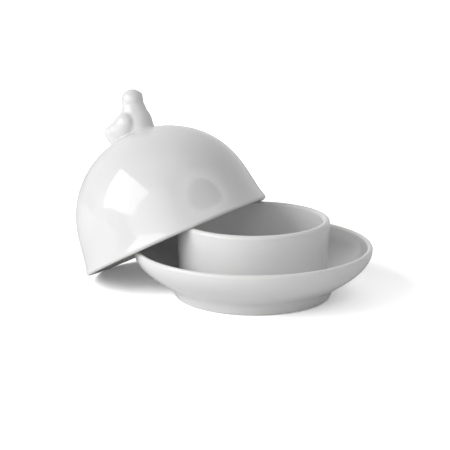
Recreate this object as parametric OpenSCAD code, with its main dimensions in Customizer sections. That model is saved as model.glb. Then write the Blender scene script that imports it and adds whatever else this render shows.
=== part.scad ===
// Butter dish in glazed white porcelain: a footed saucer with a round butter cup standing in it,
// and a bell-shaped cover with a small bird as its knob. The cover is off and leans on the cup:
// its rim stands on the table on one side and rests across the cup's rim on the other.
// Millimetres, Z up, origin on the table under the middle of the saucer.

/* [Saucer] */
// Width of the trough, from the cup's rim to the outside of the saucer's rim
trough_width = 26; // [20:0.5:36]
// Height of the saucer's rim above the table
saucer_height = 31.2; // [26:0.1:40]
// Thickness of the saucer's wall at the rim
saucer_rim_wall = 3.4; // [2.4:0.1:5]
// Thickness of the saucer's wall where it leaves the foot
saucer_base_wall = 4.2; // [3:0.1:6]
// Slope of the saucer's flank where it leaves the foot, in degrees
flank_slope = 37; // [25:1:50]
// How long the flank keeps its slope, as a share of its span
flank_low_pull = 0.26; // [0.15:0.01:0.45]
// How long the flank stays upright below the rim, as a share of its span
flank_high_pull = 0.34; // [0.2:0.01:0.5]

/* [Foot] */
// How far the foot ring reaches out past the cup's rim, at the table
foot_reach = 1.1; // [-2:0.1:3]
// Height of the foot ring, up to the flank
foot_height = 6.4; // [4:0.1:9]
// How much the foot ring widens from the table to the flank
foot_flare = 2.9; // [0:0.1:5]
// Width of the foot ring
foot_width = 6; // [4:0.1:9]
// Radius of the foot ring's edges
foot_edge = 1.6; // [0.5:0.1:2.5]
// Depth of the hollow inside the foot ring
foot_recess = 4.6; // [2:0.1:5.5]

/* [Butter cup] */
// Outer radius of the cup at its rim
cup_radius = 46.5; // [38:0.5:50]
// Height of the cup's rim above the table
cup_height = 47.4; // [36:0.2:60]
// Thickness of the cup's wall
cup_wall = 4.5; // [3:0.1:6]
// How far the cup's wall leans inwards on the way down, in degrees
cup_taper = 2.6; // [0:0.1:6]
// Radius of the glazed corner where the cup stands on the saucer
cup_fillet = 2.5; // [1:0.1:4]

/* [Cover] */
// Gap between the cup's rim and the inside of the cover's rim, all round, when it is on
cover_play = 10.9; // [7:0.1:14]
// Height of the cover without the bird
cover_height = 71; // [56:0.5:90]
// Thickness of the cover's wall
cover_wall = 3.4; // [2.4:0.1:4.5]
// How far the rim flares past the crown
flare = 2.9; // [0:0.1:5]
// Height over which the flare fades out
flare_reach = 7.8; // [4:0.1:12]
// Fullness of the cover's shoulder, where 2 is a round one
shoulder = 2.67; // [2:0.01:3.2]
// Fullness of the cover's top, where 2 is a round one
top_fullness = 1.87; // [1.6:0.01:2.2]

/* [Leaning cover] */
// Distance from the middle of the saucer to the middle of the leaning cover's rim
lean_distance = 54.4; // [46:0.1:70]
// Direction in which the cover lies from the saucer, in degrees from +X
lean_direction = 149; // [0:1:359]
// Gap left between the cover's rim and the cup's rim
rest_gap = 0.3; // [0.1:0.1:1]

/* [Bird] */
// Direction in which the bird looks, in degrees round the cover's axis from its raised side
bird_heading = 39; // [-180:1:180]
// Radius of the head
head_radius = 6.7; // [5:0.1:8]
// Height of the middle of the head above the top of the cover
head_height = 18.9; // [15:0.1:22]
// Distance of the middle of the head in front of the cover's axis
head_forward = 8.9; // [6:0.1:12]
// Radius of the breast
breast_radius = 9.3; // [7:0.1:11]
// Distance of the tail's end behind the cover's axis
tail_length = 15.1; // [12:0.1:20]
// Radius of the tail's rounded end
tail_radius = 3.9; // [2.5:0.1:5]
// Radius of the folded wing where it meets the breast
wing_radius = 4.1; // [3:0.1:5]
// Radius of the beak's blunt tip
beak_radius = 1.7; // [1:0.1:2.5]

/* [Hidden] */
$fn = 128;

porcelain = "#f2f2f0";
glaze_shadow = "#e9e9e6";
facets = 32;       // on the bird's rounded forms
curve_steps = 12;  // straight lines in each long curve
lip_steps = 6;     // straight lines in each rounded edge

// A cubic curve between a and d, pulled towards b and c
function blend(a, b, c, d, t) =
    pow(1 - t, 3) * a + 3 * t * pow(1 - t, 2) * b + 3 * t * t * (1 - t) * c + pow(t, 3) * d;
// Points along an arc, with the angles in degrees
function arc(centre, radius, from, to, steps) =
    [for (i = [0:steps]) centre + radius * dir(from + (to - from) * i / steps)];
function dir(a) = [cos(a), sin(a)];
function unit(v) = v / norm(v);

// ---- Saucer: the flank is one curve from the foot to the rim, and the inside follows it.
saucer_radius = cup_radius + trough_width;
foot_radius = cup_radius + foot_reach;
rim_half = saucer_rim_wall / 2;
flank_foot = [foot_radius + foot_flare, foot_height];
flank_rim = [saucer_radius, saucer_height - rim_half];
flank_span = norm(flank_rim - flank_foot);
function flank(t) =
    blend(flank_foot, flank_foot + flank_low_pull * flank_span * dir(flank_slope),
          flank_rim - [0, flank_high_pull * flank_span], flank_rim, t);
function flank_normal(t) =
    let (v = unit(flank(min(1, t + 0.01)) - flank(max(0, t - 0.01)))) [v[1], -v[0]];
function saucer_wall(t) = saucer_base_wall + (saucer_rim_wall - saucer_base_wall) * t;
function flank_inside(t) = flank(t) - saucer_wall(t) * flank_normal(t);

floor_bottom = foot_recess;
floor_top = flank_inside(0)[1];
foot_inner = foot_radius - foot_width;

module saucer() {
    color(porcelain)
    rotate_extrude()
    polygon(concat(
        [[0, floor_bottom], [foot_inner - foot_edge, floor_bottom]],
        arc([foot_inner + foot_edge, foot_edge], foot_edge, 180, 270, lip_steps),
        arc([foot_radius - foot_edge, foot_edge], foot_edge, -90, -25, lip_steps),
        [for (i = [0:curve_steps]) flank(i / curve_steps)],
        arc(flank_rim - [rim_half, 0], rim_half, 0, 180, 2 * lip_steps),
        [for (i = [curve_steps - 1:-1:0]) flank_inside(i / curve_steps)],
        [[0, floor_top]]
    ));
}

// ---- Butter cup: a plain ring wall with a rounded rim, standing on the saucer's floor.
cup_rim_half = cup_wall / 2;
cup_rim_centre = [cup_radius - cup_rim_half, cup_height - cup_rim_half];
cup_lean = (cup_rim_centre[1] - floor_top) * tan(cup_taper);
cup_foot_outer = cup_radius - cup_lean;
cup_foot_inner = cup_foot_outer - cup_wall;
cup_corner = min(cup_fillet, flank_inside(0)[0] - cup_foot_outer - 0.2);   // stays on the flat floor

module butter_cup() {
    color(porcelain)
    rotate_extrude()
    polygon(concat(
        arc([cup_foot_outer + cup_corner, floor_top + cup_corner], cup_corner, 270, 180, lip_steps),
        arc(cup_rim_centre, cup_rim_half, 0, 180, 2 * lip_steps),
        arc([cup_foot_inner - cup_corner, floor_top + cup_corner], cup_corner, 0, -90, lip_steps)
    ));
}

// ---- Cover, in its own frame: its axis is Z and its rim stands on Z = 0.
crown_radius = cup_radius + cover_play + cover_wall - flare;   // before the rim flares
lip_half = cover_wall / 2;
lip_angle = atan(flare / flare_reach);
lip_height = lip_half * (1 + sin(lip_angle));   // where the rounded edge of the rim begins
function crown(f) =
    let (h = f * (cover_height - lip_height))
    [crown_radius * pow(1 - pow(f, shoulder), 1 / top_fullness) + flare * exp(-h / flare_reach),
     lip_height + h];
function crown_normal(f) =
    let (v = unit(crown(min(0.9999, f + 0.002)) - crown(max(0, f - 0.002)))) [v[1], -v[0]];
function crown_inside(f) = crown(f) - cover_wall * crown_normal(f);
crown_steps = 18;
function crown_step(i) = sin(86 * i / crown_steps);
lip_centre = crown(0) - lip_half * crown_normal(0);

module crown_solid() {
    rotate_extrude()
    polygon(concat(
        [[0, lip_height]],
        [for (i = [0:crown_steps]) crown(crown_step(i))],
        [[0, cover_height]]
    ));
}

module cover_shell() {
    rotate_extrude()
    polygon(concat(
        [[0, cover_height - cover_wall]],
        [for (i = [crown_steps:-1:1]) crown_inside(crown_step(i))],
        arc(lip_centre, lip_half, -180 + lip_angle, lip_angle, 2 * lip_steps),
        [for (i = [1:crown_steps]) crown(crown_step(i))],
        [[0, cover_height]]
    ));
}

// ---- Where the leaning cover stands. Its tilt is the least at which its rim, standing on the
// table, clears the rims of the cup and the saucer by the gap.
function lip_low(tilt) = lip_half + lip_centre[0] * sin(tilt) - lip_centre[1] * cos(tilt);
function lip_point(tilt, a) =
    let (r = lip_centre[0], h = lip_centre[1])
    [-lean_distance + r * cos(a) * cos(tilt) - h * sin(tilt),
     r * sin(a),
     lip_low(tilt) + r * cos(a) * sin(tilt) + h * cos(tilt)];
function clears(p, rim_centre, half) =
    let (out = norm([p[0], p[1]]) - rim_centre[0], up = max(0, p[2] - rim_centre[1]))
    norm([out, up]) > lip_half + half + rest_gap;
function tilt_clears(tilt) =
    len([for (a = [0:1:180]) let (p = lip_point(tilt, a))
         if (!clears(p, cup_rim_centre, cup_rim_half)
             || !clears(p, flank_rim - [rim_half, 0], rim_half)) 1]) == 0;
function least_tilt(low, high, rounds) =
    let (middle = (low + high) / 2)
    rounds == 0 ? high
    : tilt_clears(middle) ? least_tilt(low, middle, rounds - 1) : least_tilt(middle, high, rounds - 1);
lean_tilt = least_tilt(10, 60, 16);

module leaning() {
    rotate(lean_direction)
    translate([lean_distance, 0, lip_low(lean_tilt)])
    rotate([0, lean_tilt, 0])
    children();
}

module cover_dome() {
    color(porcelain) leaning() cover_shell();
}

// ---- Bird, in the cover's frame: plump rounded forms that grow out of the top of the cover.
module ball(x, z, radius, y = 0) {
    translate([x, y, cover_height + z]) sphere(radius, $fn = facets);
}

module bird_form() {
    // breast, shoulders and neck
    hull() {
        ball(head_forward - 3.1, 6.6, breast_radius);
        ball(head_forward - 3.2, 0, breast_radius - 0.2);
    }
    hull() {
        ball(head_forward - 3.1, 8, breast_radius - 1.6);
        ball(head_forward - 1.4, head_height - 5.6, head_radius - 0.3);
    }
    // head, with a short blunt beak
    ball(head_forward, head_height, head_radius);
    hull() {
        ball(head_forward + 1.7, head_height + 1.2, head_radius - 2.3);
        ball(head_forward + 5.4, head_height + 1.1, beak_radius);
    }
    // back and tail, filled down to the cover
    hull() {
        ball(head_forward - 6, 8.5, breast_radius - 2.4);
        ball(tail_radius - tail_length, 5.2, tail_radius);
    }
    hull() {
        ball(head_forward - 4.4, 2.5, breast_radius - 1);
        ball(tail_radius - tail_length + 0.3, 4.5, tail_radius - 0.1);
        ball(tail_radius - tail_length + 1.4, -1.5, tail_radius - 0.5);
    }
    // folded wings
    for (side = [-1, 1])
        hull() {
            ball(-0.2, 7.6, wing_radius, side * 4.8);
            ball(-5.6, 5.2, wing_radius - 0.6, side * 3.6);
        }
}

module bird_knob() {
    color(glaze_shadow)
    leaning()
    difference() {
        rotate(180 + bird_heading) bird_form();
        crown_solid();
    }
}

saucer();
butter_cup();
cover_dome();
bird_knob();
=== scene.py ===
# Butter dish in glazed white porcelain: saucer, butter cup, and a bell-shaped cover with a bird on top.
import bpy
import bmesh
import math
import numpy as np
from mathutils import Matrix, Vector


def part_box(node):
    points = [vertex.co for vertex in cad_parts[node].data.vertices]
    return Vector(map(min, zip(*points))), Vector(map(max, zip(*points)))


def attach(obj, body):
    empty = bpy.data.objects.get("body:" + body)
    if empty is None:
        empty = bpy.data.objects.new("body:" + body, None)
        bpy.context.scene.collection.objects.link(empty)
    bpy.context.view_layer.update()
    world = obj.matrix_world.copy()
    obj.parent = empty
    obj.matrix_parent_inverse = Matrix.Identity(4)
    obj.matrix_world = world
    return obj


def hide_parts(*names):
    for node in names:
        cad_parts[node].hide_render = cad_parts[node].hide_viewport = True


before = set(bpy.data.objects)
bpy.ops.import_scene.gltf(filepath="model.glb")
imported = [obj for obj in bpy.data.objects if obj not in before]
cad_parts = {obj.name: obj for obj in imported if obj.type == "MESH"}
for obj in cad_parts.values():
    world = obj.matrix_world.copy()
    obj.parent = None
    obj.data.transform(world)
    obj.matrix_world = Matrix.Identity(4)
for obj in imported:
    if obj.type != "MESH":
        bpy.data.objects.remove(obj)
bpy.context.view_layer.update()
mm = 0.001
print("frame loaded:", sorted(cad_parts))


cameraSetup = {
    "place": (-16.9 * mm, -958.8 * mm, 281.6 * mm),
    "pitchDown": 13.98,   # degrees
    "lens": 130.9,        # on a sensor 36 mm wide
    "sensor": 36,
    "farthest": 20,       # metres
}


def setCamera(setup):
    data = bpy.data.cameras.new("camera")
    data.lens = setup["lens"]
    data.sensor_width = setup["sensor"]
    data.clip_end = setup["farthest"]
    camera = bpy.data.objects.new("camera", data)
    camera.location = setup["place"]
    camera.rotation_euler = (math.radians(90 - setup["pitchDown"]), 0, 0)
    bpy.context.scene.collection.objects.link(camera)
    bpy.context.scene.camera = camera


setCamera(cameraSetup)


# Outlines are in millimetres, as [radius, height] points.
def direction(angle):
    return np.array([math.cos(math.radians(angle)), math.sin(math.radians(angle))])


def arc(centre, radius, start, end, steps):
    turn = (end - start) / steps
    return [np.array(centre) + radius * direction(start + turn * i) for i in range(steps + 1)]


def pulledCurve(a, b, c, d, steps):
    t = np.linspace(0, 1, steps + 1)[:, None]
    return (1 - t) ** 3 * a + 3 * t * (1 - t) ** 2 * b + 3 * t * t * (1 - t) * c + t ** 3 * d


def outwardNormals(points):
    run = np.gradient(points, axis=0)
    run /= np.linalg.norm(run, axis=1)[:, None]
    return np.stack([run[:, 1], -run[:, 0]], axis=1)


def addNode(tree, kind, links=None, **settings):
    node = tree.nodes.new(kind)
    for name, value in settings.items():
        setattr(node, name, value)
    for socket, source in (links or {}).items():
        if isinstance(source, bpy.types.NodeSocket):
            tree.links.new(source, node.inputs[socket])
        else:
            node.inputs[socket].default_value = source
    return node


def mathNode(tree, operation, a, b=None):
    links = {0: a} if b is None else {0: a, 1: b}
    return addNode(tree, "ShaderNodeMath", links, operation=operation).outputs[0]


# A piece off the wheel is never quite round: its wall drifts slowly, and never outwards.
wheel = {
    "segments": 256,
    "driftScale": 14.0,   # of the slow drift, per metre
    "axisHold": 40.0,     # the drift fades out within 1/40 m of the axis
    "mergeWithin": 1e-6,
    "edgeReach": 0.8,     # mm each way, over which a bend counts as an edge
    "edgeGain": 1.5,
}


def turningTree():
    tree = bpy.data.node_groups.new("turnedOutline", "GeometryNodeTree")
    face = tree.interface
    face.new_socket("Outline", in_out="INPUT", socket_type="NodeSocketGeometry")
    face.new_socket("Segments", in_out="INPUT", socket_type="NodeSocketInt")
    face.new_socket("Unevenness", in_out="INPUT", socket_type="NodeSocketFloat")
    face.new_socket("Seed", in_out="INPUT", socket_type="NodeSocketFloat")
    face.new_socket("Glaze", in_out="INPUT", socket_type="NodeSocketMaterial")
    face.new_socket("Piece", in_out="OUTPUT", socket_type="NodeSocketGeometry")
    given = tree.nodes.new("NodeGroupInput").outputs
    count = addNode(tree, "GeometryNodeAttributeDomainSize",
                    {"Geometry": given["Outline"]}).outputs["Point Count"]
    columns = mathNode(tree, "ADD", given["Segments"], 1)
    sheet = addNode(tree, "GeometryNodeMeshGrid",
                    {"Size X": 1.0, "Size Y": 1.0, "Vertices X": columns, "Vertices Y": count})
    at = addNode(tree, "GeometryNodeInputPosition").outputs[0]
    split = addNode(tree, "ShaderNodeSeparateXYZ", {0: at})
    turn = mathNode(tree, "MULTIPLY", mathNode(tree, "ADD", split.outputs["X"], 0.5), 2 * math.pi)
    along = mathNode(tree, "MULTIPLY", mathNode(tree, "ADD", split.outputs["Y"], 0.5),
                     mathNode(tree, "SUBTRACT", count, 1))
    row = mathNode(tree, "ROUND", along)
    spot = addNode(tree, "GeometryNodeSampleIndex",
                   {"Geometry": given["Outline"], "Index": row}, data_type="FLOAT_VECTOR")
    tree.links.new(at, spot.inputs["Value"])
    outline = addNode(tree, "ShaderNodeSeparateXYZ", {0: spot.outputs["Value"]}).outputs
    cosine, sine = mathNode(tree, "COSINE", turn), mathNode(tree, "SINE", turn)
    ringPoint = addNode(tree, "ShaderNodeCombineXYZ",
                        {"X": mathNode(tree, "MULTIPLY", outline["X"], cosine),
                         "Y": mathNode(tree, "MULTIPLY", outline["X"], sine), "Z": outline["Z"]}).outputs[0]
    shift = addNode(tree, "ShaderNodeCombineXYZ", {"X": given["Seed"]}).outputs[0]
    driftAt = addNode(tree, "ShaderNodeVectorMath", {0: ringPoint, 1: shift}, operation="ADD").outputs[0]
    drift = addNode(tree, "ShaderNodeTexNoise",
                    {"Vector": driftAt, "Scale": wheel["driftScale"], "Detail": 0.0}).outputs[0]
    swell = mathNode(tree, "MULTIPLY", mathNode(tree, "SUBTRACT", drift, 1.0), given["Unevenness"])
    radius = mathNode(tree, "ADD", outline["X"],
                      mathNode(tree, "MULTIPLY", swell, mathNode(tree, "MINIMUM", mathNode(
                          tree, "MULTIPLY", outline["X"], wheel["axisHold"]), 1.0)))
    place = addNode(tree, "ShaderNodeCombineXYZ",
                    {"X": mathNode(tree, "MULTIPLY", radius, cosine),
                     "Y": mathNode(tree, "MULTIPLY", radius, sine), "Z": outline["Z"]}).outputs[0]
    # the outline's edge value, which sets the glaze's painted highlight and painted shade, goes along with
    # each of its points
    edgeThere = addNode(tree, "GeometryNodeInputNamedAttribute", {"Name": "edge"},
                        data_type="FLOAT").outputs[0]
    edgeSpot = addNode(tree, "GeometryNodeSampleIndex",
                       {"Geometry": given["Outline"], "Value": edgeThere, "Index": row},
                       data_type="FLOAT").outputs["Value"]
    edged = addNode(tree, "GeometryNodeStoreNamedAttribute",
                    {"Geometry": sheet.outputs["Mesh"], "Name": "edge", "Value": edgeSpot},
                    data_type="FLOAT", domain="POINT")
    turned = addNode(tree, "GeometryNodeSetPosition", {"Geometry": edged.outputs[0], "Position": place})
    closed = addNode(tree, "GeometryNodeMergeByDistance",
                     {"Geometry": turned.outputs[0], "Distance": wheel["mergeWithin"]})
    smooth = addNode(tree, "GeometryNodeSetShadeSmooth", {0: closed.outputs[0]})
    real = addNode(tree, "GeometryNodeRealizeInstances", {0: smooth.outputs[0]})
    glazed = addNode(tree, "GeometryNodeSetMaterial",
                     {"Geometry": real.outputs[0], "Material": given["Glaze"]})
    end = tree.nodes.new("NodeGroupOutput")
    tree.links.new(glazed.outputs[0], end.inputs["Piece"])
    return tree


def socketId(tree, name):
    return next(s.identifier for s in tree.interface.items_tree if s.name == name and s.in_out == "INPUT")


# How sharply an outline bends at each of its points: 1 at an edge, 0 on a plain wall, -1 in a corner.
def edgeSharpness(outline):
    run = np.diff(outline, axis=0)
    length = np.linalg.norm(run, axis=1)
    heading = np.unwrap(np.arctan2(run[:, 1], run[:, 0]))
    along = np.concatenate([[0], np.cumsum(length)])
    middle = along[:-1] + length / 2
    reach = wheel["edgeReach"]
    bend = np.zeros(len(outline))
    for i, at in enumerate(along):
        ends = np.interp([at - reach, at + reach], middle, heading)
        bend[i] = (ends[1] - ends[0]) / (2 * reach)
    return np.clip(bend * wheel["edgeGain"], -1, 1)


def turnPiece(name, outline, finish, unevenness, seed, place=None):
    outline = np.array(outline) * mm
    mesh = bpy.data.meshes.new(name + "Outline")
    mesh.from_pydata([(r, 0, z) for r, z in outline], [(i, i + 1) for i in range(len(outline) - 1)], [])
    mesh.attributes.new("edge", "FLOAT", "POINT").data.foreach_set("value", edgeSharpness(outline / mm))
    rough = bpy.data.objects.new(name + "Outline", mesh)
    bpy.context.scene.collection.objects.link(rough)
    lathe = rough.modifiers.new("turn", "NODES")
    lathe.node_group = turning
    for label, value in (("Segments", wheel["segments"]), ("Unevenness", unevenness), ("Seed", seed),
                         ("Glaze", finish)):
        lathe[socketId(turning, label)] = value
    bpy.context.view_layer.update()
    made = bpy.data.meshes.new_from_object(rough.evaluated_get(bpy.context.evaluated_depsgraph_get()))
    bpy.data.objects.remove(rough)
    made.name = name
    made.materials.clear()
    made.materials.append(finish)
    faceOutwards(made)
    if place is not None:
        made.transform(place)
    piece = bpy.data.objects.new(name, made)
    bpy.context.scene.collection.objects.link(piece)
    return piece


def faceOutwards(mesh):
    work = bmesh.new()
    work.from_mesh(mesh)
    if work.calc_volume(signed=True) < 0:
        bmesh.ops.reverse_faces(work, faces=work.faces)
    work.to_mesh(mesh)
    work.free()


# Over edges the glaze is lighter and warmer: partly its real thinning, partly a painted highlight. In corners
# and creases it is darker and cooler: partly real pooling, partly painted shade.
glazeLook = {
    "pale": (0.775, 0.774, 0.772), "cool": (0.742, 0.743, 0.745), "thinGlazeAndHighlight": (0.81, 0.806, 0.798),
    "speck": (0.5, 0.48, 0.45),
    "cloudScale": 22.0, "cloudShare": 0.7, "edgeShare": 0.9,
    "speckScale": 900.0, "speckShare": 0.12,
    "gloss": (0.012, 0.035), "glossScale": 60.0,   # roughness from the wettest to the driest patches
    "wave": (38.0, 0.10, 0.004),                   # slow dips of the glaze: scale, strength, depth in metres
    "peel": (420.0, 0.035, 0.0006),                # fine ripple on top of them
    "ior": 1.52,
}
# Bare clay shows where the piece was wiped clean to stand in the kiln.
bareLook = {
    "pale": (0.76, 0.755, 0.74), "grey": (0.68, 0.675, 0.66), "grainScale": 300.0,
    "gloss": (0.62, 0.8), "glossScale": 90.0,
    "tooth": (2600.0, 0.4, 0.0002),
}


def shaderOf(name):
    made = bpy.data.materials.new(name)
    made.use_nodes = True
    tree = made.node_tree
    return made, tree, tree.nodes["Principled BSDF"], addNode(tree, "ShaderNodeTexCoord").outputs["Object"]


def noiseAt(tree, at, scale, detail=2.0):
    return addNode(tree, "ShaderNodeTexNoise", {"Vector": at, "Scale": scale, "Detail": detail}).outputs[0]


def rangeOf(tree, value, a, b, c, d):
    return addNode(tree, "ShaderNodeMapRange", {
        "Value": value, "From Min": a, "From Max": b, "To Min": c, "To Max": d}).outputs[0]


def tint(tree, share, a, b):
    mix = addNode(tree, "ShaderNodeMix", data_type="RGBA")
    for socket, value in ((0, share), (6, a), (7, b)):
        if isinstance(value, bpy.types.NodeSocket):
            tree.links.new(value, mix.inputs[socket])
        else:
            mix.inputs[socket].default_value = tuple(value) + (1,)
    return mix.outputs[2]


def bump(tree, at, size, detail, under=None):
    scale, strength, depth = size
    links = {"Height": noiseAt(tree, at, scale, detail), "Strength": strength, "Distance": depth}
    if under is not None:
        links["Normal"] = under
    return addNode(tree, "ShaderNodeBump", links).outputs[0]


def glazeMaterial(look):
    made, tree, shader, at = shaderOf("glazedPorcelain")
    edge = addNode(tree, "ShaderNodeAttribute", attribute_name="edge").outputs["Fac"]
    cloud = rangeOf(tree, noiseAt(tree, at, look["cloudScale"]), 0.35, 0.65, 0.0, look["cloudShare"])
    speck = rangeOf(tree, noiseAt(tree, at, look["speckScale"], 0.0), 0.8, 0.86, 0.0, look["speckShare"])
    body = tint(tree, cloud, look["pale"], look["cool"])
    # painted highlight: convex edges are lightened towards a warm tone, partly the glaze's real thinning
    # there
    body = tint(tree, rangeOf(tree, edge, 0.1, 0.9, 0.0, look["edgeShare"]), body, look["thinGlazeAndHighlight"])
    # painted shade: hollows and creases are darkened towards the cool tone, partly the glaze's real pooling
    # there
    body = tint(tree, rangeOf(tree, edge, -0.05, -0.8, 0.0, look["edgeShare"]), body, look["cool"])
    body = tint(tree, speck, body, look["speck"])
    wetness = rangeOf(tree, noiseAt(tree, at, look["glossScale"], 4.0), 0.3, 0.7, *look["gloss"])
    surface = bump(tree, at, look["peel"], 1.0, bump(tree, at, look["wave"], 1.0))
    tree.links.new(body, shader.inputs["Base Color"])
    tree.links.new(wetness, shader.inputs["Roughness"])
    tree.links.new(surface, shader.inputs["Normal"])
    shader.inputs["IOR"].default_value = look["ior"]
    return made


def bareMaterial(look):
    made, tree, shader, at = shaderOf("barePorcelain")
    grain = rangeOf(tree, noiseAt(tree, at, look["grainScale"], 5.0), 0.35, 0.7, 0.0, 1.0)
    dryness = rangeOf(tree, noiseAt(tree, at, look["glossScale"]), 0.3, 0.7, *look["gloss"])
    tree.links.new(tint(tree, grain, look["pale"], look["grey"]), shader.inputs["Base Color"])
    tree.links.new(dryness, shader.inputs["Roughness"])
    tree.links.new(bump(tree, at, look["tooth"], 3.0), shader.inputs["Normal"])
    return made


glaze = glazeMaterial(glazeLook)
bare = bareMaterial(bareLook)
turning = turningTree()


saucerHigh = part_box("saucer")[1]
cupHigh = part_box("butter_cup")[1]
cupSizes = {"radius": 46.5, "height": cupHigh.z / mm, "wall": 4.5, "taper": 2.6, "corner": 2.5,
            "unevenness": 0.0002, "seed": 3.0}
saucerSizes = {
    "radius": saucerHigh.x / mm, "height": saucerHigh.z / mm,
    "rimWall": 3.4, "baseWall": 4.2, "flankSlope": 37, "lowPull": 0.26, "highPull": 0.34,
    "footRadius": cupSizes["radius"] + 1.1, "footHeight": 6.4, "footFlare": 2.9, "footWidth": 6,
    "footEdge": 1.6, "footRecess": 4.6,
    "cornerReach": 3.2, "cornerStep": 0.6,     # of the eased corner in the recess
    "joinStart": 0.55, "joinPoints": 5,        # the soft join of foot and flank
    "bareHeight": 0.6, "glazeStep": 0.1,
    "unevenness": 0.0003, "seed": 1.0,
}


def flankCurve(s, steps):
    start = np.array([s["footRadius"] + s["footFlare"], s["footHeight"]])
    end = np.array([s["radius"], s["height"] - s["rimWall"] / 2])
    span = np.linalg.norm(end - start)
    return pulledCurve(start, start + s["lowPull"] * span * direction(s["flankSlope"]),
                       end - [0, s["highPull"] * span], end, steps)


# The foot ring's two edges, each in a glazed and a bare stretch that meet at the height of the cut.
def footEdges(s, cut):
    edge = s["footEdge"]
    meet = math.degrees(math.asin(cut / edge - 1))
    inner = [s["footRadius"] - s["footWidth"] + edge, edge]
    outer = [s["footRadius"] - edge, edge]
    return (arc(inner, edge, 180, 180 - meet, 6), arc(inner, edge, 180 - meet, 270, 6),
            arc(outer, edge, -90, meet, 6), arc(outer, edge, meet, -25, 6))


def saucerOutline(s):
    outside = flankCurve(s, 48)
    share = np.linspace(0, 1, len(outside))[:, None]
    inside = outside - (s["baseWall"] + (s["rimWall"] - s["baseWall"]) * share) * outwardNormals(outside)
    rimHalf = s["rimWall"] / 2
    inner, _, _, outer = footEdges(s, s["bareHeight"])
    side, top, step = inner[0][0], s["footRecess"], s["cornerStep"]
    outline = [[0, top], [side - s["cornerReach"], top], [side - step, top - step / 2]]
    corner, away = outside[0], outside[s["joinPoints"]]
    near = corner + (outer[-1] - corner) * s["joinStart"]
    outline += inner + outer
    outline += list(pulledCurve(near, (near + 2 * corner) / 3, (away + 2 * corner) / 3, away, 8))
    outline += list(outside[s["joinPoints"] + 1:])
    outline += arc([s["radius"] - rimHalf, outside[-1][1]], rimHalf, 0, 180, 20)[1:]
    outline += list(inside[::-1][1:])
    outline += [[0, inside[0][1]]]
    return outline, inside[0]


# The bare sole stands back from the glaze by the glaze's thickness.
def soleOutline(s):
    _, inner, outer, _ = footEdges(s, s["bareHeight"])
    inset = [q + [s["glazeStep"], 0] for q in inner] + [q - [s["glazeStep"], 0] for q in outer]
    return inset + [inset[0]]


outline, floorEdge = saucerOutline(saucerSizes)
saucerBowl = turnPiece("saucerBowl", outline, glaze, saucerSizes["unevenness"], saucerSizes["seed"])
saucerSole = turnPiece("saucerSole", soleOutline(saucerSizes), bare, 0.0, saucerSizes["seed"])
print("saucer turned")


def cupOutline(s, floorTop):
    half = s["wall"] / 2
    rimCentre = np.array([s["radius"] - half, s["height"] - half])
    outer = s["radius"] - (rimCentre[1] - floorTop) * math.tan(math.radians(s["taper"]))
    inner = outer - s["wall"]
    corner = s["corner"]
    outline = arc([outer + corner, floorTop + corner], corner, 270, 180, 10)
    outline += arc(rimCentre, half, 0, 180, 24)
    outline += arc([inner - corner, floorTop + corner], corner, 0, -90, 10)
    outline += [outline[0]]
    return outline


butterCup = turnPiece("butterCup", cupOutline(cupSizes, floorEdge[1]), glaze, cupSizes["unevenness"],
                      cupSizes["seed"])
print("cup turned")


coverSizes = {
    "play": 10.9, "height": 71, "wall": 3.4,
    "flare": 2.9, "flareReach": 7.8, "shoulder": 2.67, "fullness": 1.87,
    "crownPoints": 90, "crownEnd": 88.5,       # the points crowd together towards the top
    "leanDistance": 54.4, "leanDirection": 149, "restGap": 0.3,
    "leanRange": (10, 60), "leanRounds": 16,   # degrees, and halvings of that range
    "bareHeight": 0.35, "glazeStep": 0.08, "solePoints": 8,
    "unevenness": 0.0003, "seed": 5.0,
}


def crownRadius(s):
    return cupSizes["radius"] + s["play"] + s["wall"] - s["flare"]


def crownCurve(s, shares):
    lipAngle = math.atan(s["flare"] / s["flareReach"])
    lipHeight = s["wall"] / 2 * (1 + math.sin(lipAngle))
    height = shares * (s["height"] - lipHeight)
    radius = crownRadius(s) * (1 - shares ** s["shoulder"]) ** (1 / s["fullness"])
    radius += s["flare"] * np.exp(-height / s["flareReach"])
    return np.stack([radius, lipHeight + height], axis=1), lipAngle


# The rim's rounded edge: glazed inside, bare underneath, glazed outside.
def lipArcs(s, lipCentre, lipAngle):
    half, tilt = s["wall"] / 2, math.degrees(lipAngle)
    meet = math.degrees(math.asin(s["bareHeight"] / half - 1))
    return (arc(lipCentre, half, -180 + tilt, -180 - meet, 8),
            arc(lipCentre, half, -180 - meet, meet, s["solePoints"]),
            arc(lipCentre, half, meet, tilt, 12))


def coverOutline(s):
    shares = np.sin(np.linspace(0, math.radians(s["crownEnd"]), s["crownPoints"]))
    outside, lipAngle = crownCurve(s, shares)
    inside = outside - s["wall"] * outwardNormals(outside)
    lipCentre = (outside[0] + inside[0]) / 2
    inner, sole, outer = lipArcs(s, lipCentre, lipAngle)
    outline = [[0, s["height"] - s["wall"]]] + list(inside[::-1]) + inner[1:] + outer[:-1]
    sole = [q + [s["glazeStep"] * (1 if i < s["solePoints"] / 2 else -1), 0] for i, q in enumerate(sole)]
    return outline + list(outside) + [[0, s["height"]]], sole + [sole[0]], lipCentre


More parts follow.
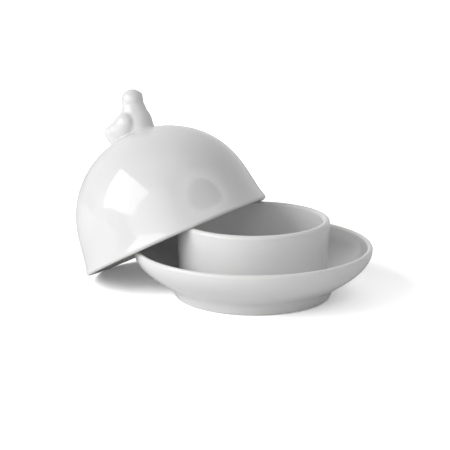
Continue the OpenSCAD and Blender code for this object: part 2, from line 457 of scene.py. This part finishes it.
# The cover's rim stands on the table and leans by the least angle that clears the rims of cup and saucer.
def leanPlace(s, lipCentre):
    angles = np.radians(np.arange(0, 181))
    lipRadius, lipRise = lipCentre
    half = s["wall"] / 2
    rims = [(piece["radius"] - wall / 2, piece["height"] - wall / 2, wall / 2)
            for piece, wall in ((cupSizes, cupSizes["wall"]), (saucerSizes, saucerSizes["rimWall"]))]

    def base(tilt):
        return half + lipRadius * math.sin(tilt) - lipRise * math.cos(tilt)

    def clears(tilt):
        x = -s["leanDistance"] + lipRadius * np.cos(angles) * math.cos(tilt) - lipRise * math.sin(tilt)
        y = lipRadius * np.sin(angles)
        z = base(tilt) + lipRadius * np.cos(angles) * math.sin(tilt) + lipRise * math.cos(tilt)
        return all((np.hypot(np.hypot(x, y) - r, np.maximum(0, z - h)) > half + t + s["restGap"]).all()
                   for r, h, t in rims)

    low, high = (math.radians(a) for a in s["leanRange"])
    for _ in range(s["leanRounds"]):
        middle = (low + high) / 2
        low, high = (low, middle) if clears(middle) else (middle, high)
    print("cover leans by", round(math.degrees(high), 2), "degrees")
    return (Matrix.Rotation(math.radians(s["leanDirection"]), 4, "Z")
            @ Matrix.Translation((s["leanDistance"] * mm, 0, base(high) * mm))
            @ Matrix.Rotation(high, 4, "Y"))


outline, lipSole, lipCentre = coverOutline(coverSizes)
coverPlace = leanPlace(coverSizes, lipCentre)
coverBell = turnPiece("coverBell", outline, glaze, coverSizes["unevenness"], coverSizes["seed"], coverPlace)
coverSole = turnPiece("coverSole", lipSole, bare, 0.0, coverSizes["seed"], coverPlace)


# The bird's rounded forms melt into each other and into the top of the cover. They are in millimetres in the
# cover's frame, turned so that X is where the bird looks, and heights are above the cover's top.
# A body is a centre and radii, with a dip and a toe-in in degrees; a limb is two centres, each with a radius.
birdSizes = {
    "heading": 39, "low": (-22, -16, -7), "high": (21, 16, 27), "cell": 0.42,
    "skirt": 2.4, "depth": 1.0, "sink": 0.03,   # the fillet's spread, and how deep the base goes
    "head": ((8.9, 0, 18.9), (6.7, 6.4, 6.65)),
    "beak": ((10.6, 0, 20.2), 4.4, (14.3, 0, 20.0), 1.7),
    "nape": ((6.5, 0, 18.0), 4.35, (3.8, 0, 11.0), 4.9),
    "throat": ((9.8, 0, 19.0), 4.8, (9.8, 0, 13.0), 4.8),
    "shoulder": ((7.0, 0, 12.3), (7.4, 6.3, 6.4)),
    "breast": ((5.8, 0, 6.4), (9.3, 7.6, 9.6)),
    "skirting": ((5.6, 0, 4.0), 9.2, (5.7, 0, -1.0), 9.2),
    "belly": ((4.5, 0, 2.5), 8.4, (-8.5, 0, 0.5), 5.4),
    "back": ((2.8, 0, 8.6), 6.9, (-11.2, 0, 5.2), 3.9),
    "tail": ((-10.9, 0, 4.5), 3.8, (-9.8, 0, -1.5), 3.4),
    "wing": ((-2.3, 4.7, 6.5), (6.6, 4.2, 5.5), 24, 20),
    "narrow": 0.82,
    "beakBlend": 1.0, "throatBlend": 1.0, "napeBlend": 1.6, "headBlend": 1.2, "shoulderBlend": 1.6,
    "breastBlend": 2.5, "backBlend": 3.5, "wingBlend": 3.0, "creaseBlend": 0.9, "skirtBlend": 1.0,
    "edgeReach": 0.8, "edgeGain": 0.75,
}


def roundedBody(p, centre, radii, dip=0.0, toeIn=0.0):
    turn = Matrix.Rotation(math.radians(toeIn), 3, "Z") @ Matrix.Rotation(math.radians(-dip), 3, "Y")
    q = (p - np.array(centre)) @ np.array(turn) / np.array(radii)
    far = np.linalg.norm(q, axis=1)
    return far * (far - 1) / np.maximum(np.linalg.norm(q / np.array(radii), axis=1), 1e-9)


def taperedLimb(p, a, aRadius, b, bRadius):
    a, b = np.array(a, float), np.array(b, float)
    share = np.clip((p - a) @ (b - a) / ((b - a) @ (b - a)), 0, 1)
    return np.linalg.norm(p - a - share[:, None] * (b - a), axis=1) - aRadius - (bRadius - aRadius) * share


def melt(a, b, width):
    over = np.maximum(width - np.abs(a - b), 0) / width
    return np.minimum(a, b) - over * over * width / 4


# How far a point is above the cover's crown
def crownAbove(p):
    s = coverSizes
    reach = np.hypot(p[:, 0], p[:, 1]) / crownRadius(s)
    left = np.maximum(1 - reach ** s["fullness"], 1e-6)
    fall = 1 - left ** (1 / s["shoulder"])
    slope = s["fullness"] / s["shoulder"] * reach ** (s["fullness"] - 1) * left ** (1 / s["shoulder"] - 1)
    high = s["height"] - s["wall"] / 2 * (1 + math.sin(math.atan(s["flare"] / s["flareReach"])))
    return (p[:, 2] + fall * high) / np.sqrt(1 + (slope * high / crownRadius(s)) ** 2)


# How far a point is outside the bird's body, before it joins the cover
def birdForm(p):
    b = birdSizes
    aside = np.stack([p[:, 0], np.abs(p[:, 1]), p[:, 2]], axis=1)
    slim = p / np.array([1, b["narrow"], 1])
    rear = melt(taperedLimb(slim, *b["back"]), taperedLimb(slim, *b["tail"]), b["backBlend"])
    rear = melt(rear, taperedLimb(slim, *b["belly"]), b["backBlend"])
    rear = melt(rear, roundedBody(aside, *b["wing"]), b["wingBlend"])
    front = melt(roundedBody(p, *b["breast"]), taperedLimb(slim, *b["skirting"]), b["breastBlend"])
    front = melt(front, roundedBody(p, *b["shoulder"]), b["shoulderBlend"])
    head = melt(roundedBody(p, *b["head"]), taperedLimb(p, *b["beak"]), b["beakBlend"])
    head = melt(head, taperedLimb(p, *b["throat"]), b["throatBlend"])
    head = melt(head, taperedLimb(p, *b["nape"]), b["napeBlend"])
    return melt(melt(front, rear, b["creaseBlend"]), head, b["headBlend"])


def birdField(p):
    b = birdSizes
    crown = crownAbove(p)
    form = birdForm(p)
    joined = melt(form, crown + b["sink"], b["skirtBlend"])
    return np.maximum(np.maximum(joined, form - b["skirt"]), -(crown + b["depth"]))


# Wraps a closed skin of four-sided faces round the places where a field is below zero: one point in each
# cell that the surface crosses, and one face across each grid line that it crosses. The points then settle
# onto the surface itself.
def wrapField(field, low, high, cell):
    axes = [np.arange(a, z + cell, cell) for a, z in zip(low, high)]
    shape = tuple(len(a) for a in axes)
    grid = np.stack(np.meshgrid(*axes, indexing="ij"), axis=-1).reshape(-1, 3)
    value = field(grid).reshape(shape)
    inside = value < 0
    cells = tuple(n - 1 for n in shape)
    total, weight = np.zeros(cells + (3,)), np.zeros(cells)
    corners = [(i, j, k) for i in (0, 1) for j in (0, 1) for k in (0, 1)]

    def shifted(array, c):
        return array[c[0]:c[0] + cells[0], c[1]:c[1] + cells[1], c[2]:c[2] + cells[2]]

    for axis in range(3):
        for start in (c for c in corners if c[axis] == 0):
            end = tuple(1 if i == axis else c for i, c in enumerate(start))
            a, b = shifted(value, start), shifted(value, end)
            crosses = (a < 0) != (b < 0)
            share = np.where(crosses, a / np.where(crosses, a - b, 1), 0)
            spot = np.array(start, float) + share[..., None] * (np.array(end) - np.array(start))
            total += np.where(crosses[..., None], spot, 0)
            weight += crosses
    used = weight > 0
    number = -np.ones(cells, int)
    number[used] = np.arange(used.sum())
    where = np.argwhere(used)
    points = (where + total[used] / weight[used][:, None]) * cell + np.array(low)
    faces = []
    for axis in range(3):
        u, v = (axis + 1) % 3, (axis + 2) % 3
        a = inside.take(range(shape[axis] - 1), axis)
        b = inside.take(range(1, shape[axis]), axis)
        for at in np.argwhere(a != b):
            if at[u] == 0 or at[v] == 0 or at[u] >= cells[u] or at[v] >= cells[v]:
                continue
            ring = []
            for du, dv in ((0, 0), (1, 0), (1, 1), (0, 1)):
                c = at.copy()
                c[u] -= du
                c[v] -= dv
                ring.append(int(number[tuple(c)]))
            faces.append(ring if a[tuple(at)] else ring[::-1])
    step, gentlest, rounds = 1e-3, 0.2, 4
    for _ in range(rounds):
        slope = np.stack([(field(points + step * e) - field(points - step * e)) / (2 * step)
                          for e in np.eye(3)], axis=1)
        far = np.clip(field(points), -cell / 2, cell / 2)[:, None]
        points = points - far * slope / np.maximum((slope ** 2).sum(1), gentlest)[:, None]
    return points, faces


def makeBird(b, place):
    points, faces = wrapField(birdField, b["low"], b["high"], b["cell"])
    mesh = bpy.data.meshes.new("birdKnob")
    mesh.from_pydata((points * mm).tolist(), [], faces)
    mesh.polygons.foreach_set("use_smooth", [True] * len(mesh.polygons))
    # The bird's bend sets the glaze's painted highlight on its ridges and painted shade in its creases.
    reach = b["edgeReach"]
    bend = sum(birdField(points + reach * e) + birdField(points - reach * e) for e in np.eye(3)) / reach ** 2
    edge = np.clip(bend * b["edgeGain"], -1, 1)
    mesh.attributes.new("edge", "FLOAT", "POINT").data.foreach_set("value", edge)
    mesh.materials.append(glaze)
    faceOutwards(mesh)
    mesh.transform(place @ Matrix.Translation((0, 0, coverSizes["height"] * mm))
                   @ Matrix.Rotation(math.radians(180 + b["heading"]), 4, "Z"))
    piece = bpy.data.objects.new("birdKnob", mesh)
    bpy.context.scene.collection.objects.link(piece)
    return piece


birdKnob = makeBird(birdSizes, coverPlace)
print("bird made:", len(birdKnob.data.polygons), "faces")


def towards(turn, rise):
    turn, rise = math.radians(turn), math.radians(rise)
    return Vector((math.cos(rise) * math.cos(turn), math.cos(rise) * math.sin(turn), math.sin(rise)))


# Soft light of a white tent. A glow is a direction and a rise, its inner and outer spread, all in degrees,
# and a strength. An opening in the cloth is the same, with a darkness.
tentGlow = {
    "glows": [(-110, 15, 5, 45, 1.42), (-150, 10, 10, 50, 0.75), (90, 10, 10, 70, 0.86), (30, 5, 5, 35, 0.30),
              (0, 60, 10, 50, 0.26), (120, 60, 10, 60, 0.12), (0, 20, 5, 35, 0.22), (-33, 23, 32, 46, 0.95)],
    "openings": [(-33, 23, 30, 31, 1.0), (-156, 7, 15, 16, 0.5)],
}
# One bright panel of cloth in the tent's wall, with its corners in metres across and up from its middle
keyPanel = {
    "turn": -154, "rise": 32, "distance": 1.1, "strength": 4.0, "target": (-0.076, -0.014, 0.066),
    "corners": ((-0.57, 0.38), (0.50, 0.26), (0.34, -0.29), (-0.45, -0.42)),
}
# Two sheets make the table: the upper one is only looked at, the lower one only sends light back up.
floorSheets = {
    "floor": {"height": 0.0, "paleness": 1.99, "seen": True},
    "floorBounce": {"height": -0.0001, "paleness": 0.88, "seen": False},
}
floorReach = 6   # metres each way


def lightTent(glow):
    world = bpy.data.worlds.new("tent")
    bpy.context.scene.world = world
    world.use_nodes = True
    tree = world.node_tree
    looking = addNode(tree, "ShaderNodeTexCoord").outputs["Generated"]

    def spread(turn, rise, inner, outer):
        along = addNode(tree, "ShaderNodeVectorMath", {0: looking}, operation="DOT_PRODUCT")
        along.inputs[1].default_value = towards(turn, rise)
        return addNode(tree, "ShaderNodeMapRange", {
            "Value": along.outputs["Value"], "From Min": math.cos(math.radians(outer)),
            "From Max": math.cos(math.radians(inner))}, interpolation_type="SMOOTHSTEP").outputs[0]

    total = 0.0
    for turn, rise, inner, outer, strength in glow["glows"]:
        light = mathNode(tree, "MULTIPLY", spread(turn, rise, inner, outer), strength)
        total = mathNode(tree, "ADD", light, total)
    for turn, rise, inner, outer, darkness in glow["openings"]:
        shade = mathNode(tree, "MULTIPLY", spread(turn, rise, inner, outer), darkness)
        total = mathNode(tree, "MULTIPLY", total, mathNode(tree, "SUBTRACT", 1.0, shade))
    tree.links.new(total, tree.nodes["Background"].inputs["Strength"])
    tree.nodes["Background"].inputs["Color"].default_value = (1, 1, 1, 1)


def lightPanel(panel):
    out = towards(panel["turn"], panel["rise"])
    across = Vector((-out.y, out.x, 0)).normalized()
    up = out.cross(across)
    mesh = bpy.data.meshes.new("keyPanel")
    spots = [Vector(panel["target"]) + panel["distance"] * (out + across * x + up * y)
             for x, y in panel["corners"]]
    mesh.from_pydata(spots, [], [(0, 1, 2, 3)])
    cloth = bpy.data.materials.new("panelCloth")
    cloth.use_nodes = True
    tree = cloth.node_tree
    tree.nodes.clear()
    glow = addNode(tree, "ShaderNodeEmission", {"Strength": panel["strength"]})
    tree.links.new(glow.outputs[0], addNode(tree, "ShaderNodeOutputMaterial").inputs[0])
    mesh.materials.append(cloth)
    made = bpy.data.objects.new("keyPanel", mesh)
    bpy.context.scene.collection.objects.link(made)


def makeFloor(name, height, paleness, seen):
    mesh = bpy.data.meshes.new(name)
    corners = [(x * floorReach, y * floorReach, height) for x, y in ((-1, -1), (1, -1), (1, 1), (-1, 1))]
    mesh.from_pydata(corners, [], [(0, 1, 2, 3)])
    paint = bpy.data.materials.new(name + "Paint")
    paint.use_nodes = True
    tree = paint.node_tree
    tree.nodes.clear()
    chalk = addNode(tree, "ShaderNodeBsdfDiffuse", {"Color": (paleness, paleness, paleness, 1)})
    tree.links.new(chalk.outputs[0], addNode(tree, "ShaderNodeOutputMaterial").inputs[0])
    mesh.materials.append(paint)
    floor = bpy.data.objects.new(name, mesh)
    floor.visible_camera = seen
    floor.visible_diffuse = floor.visible_glossy = floor.visible_shadow = not seen
    bpy.context.scene.collection.objects.link(floor)


bpy.context.scene.view_settings.view_transform = "Standard"
lightTent(tentGlow)
lightPanel(keyPanel)
for name, sheet in floorSheets.items():
    makeFloor(name, **sheet)
print("floor and light set")

for piece, body, node in ((saucerBowl, "dish", "saucer"), (butterCup, "dish", "butter_cup"),
                          (coverBell, "cover", "cover_dome"), (birdKnob, "cover", "bird_knob")):
    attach(piece, body)
    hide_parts(node)
for piece, body in ((saucerSole, "dish"), (coverSole, "cover")):
    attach(piece, body)
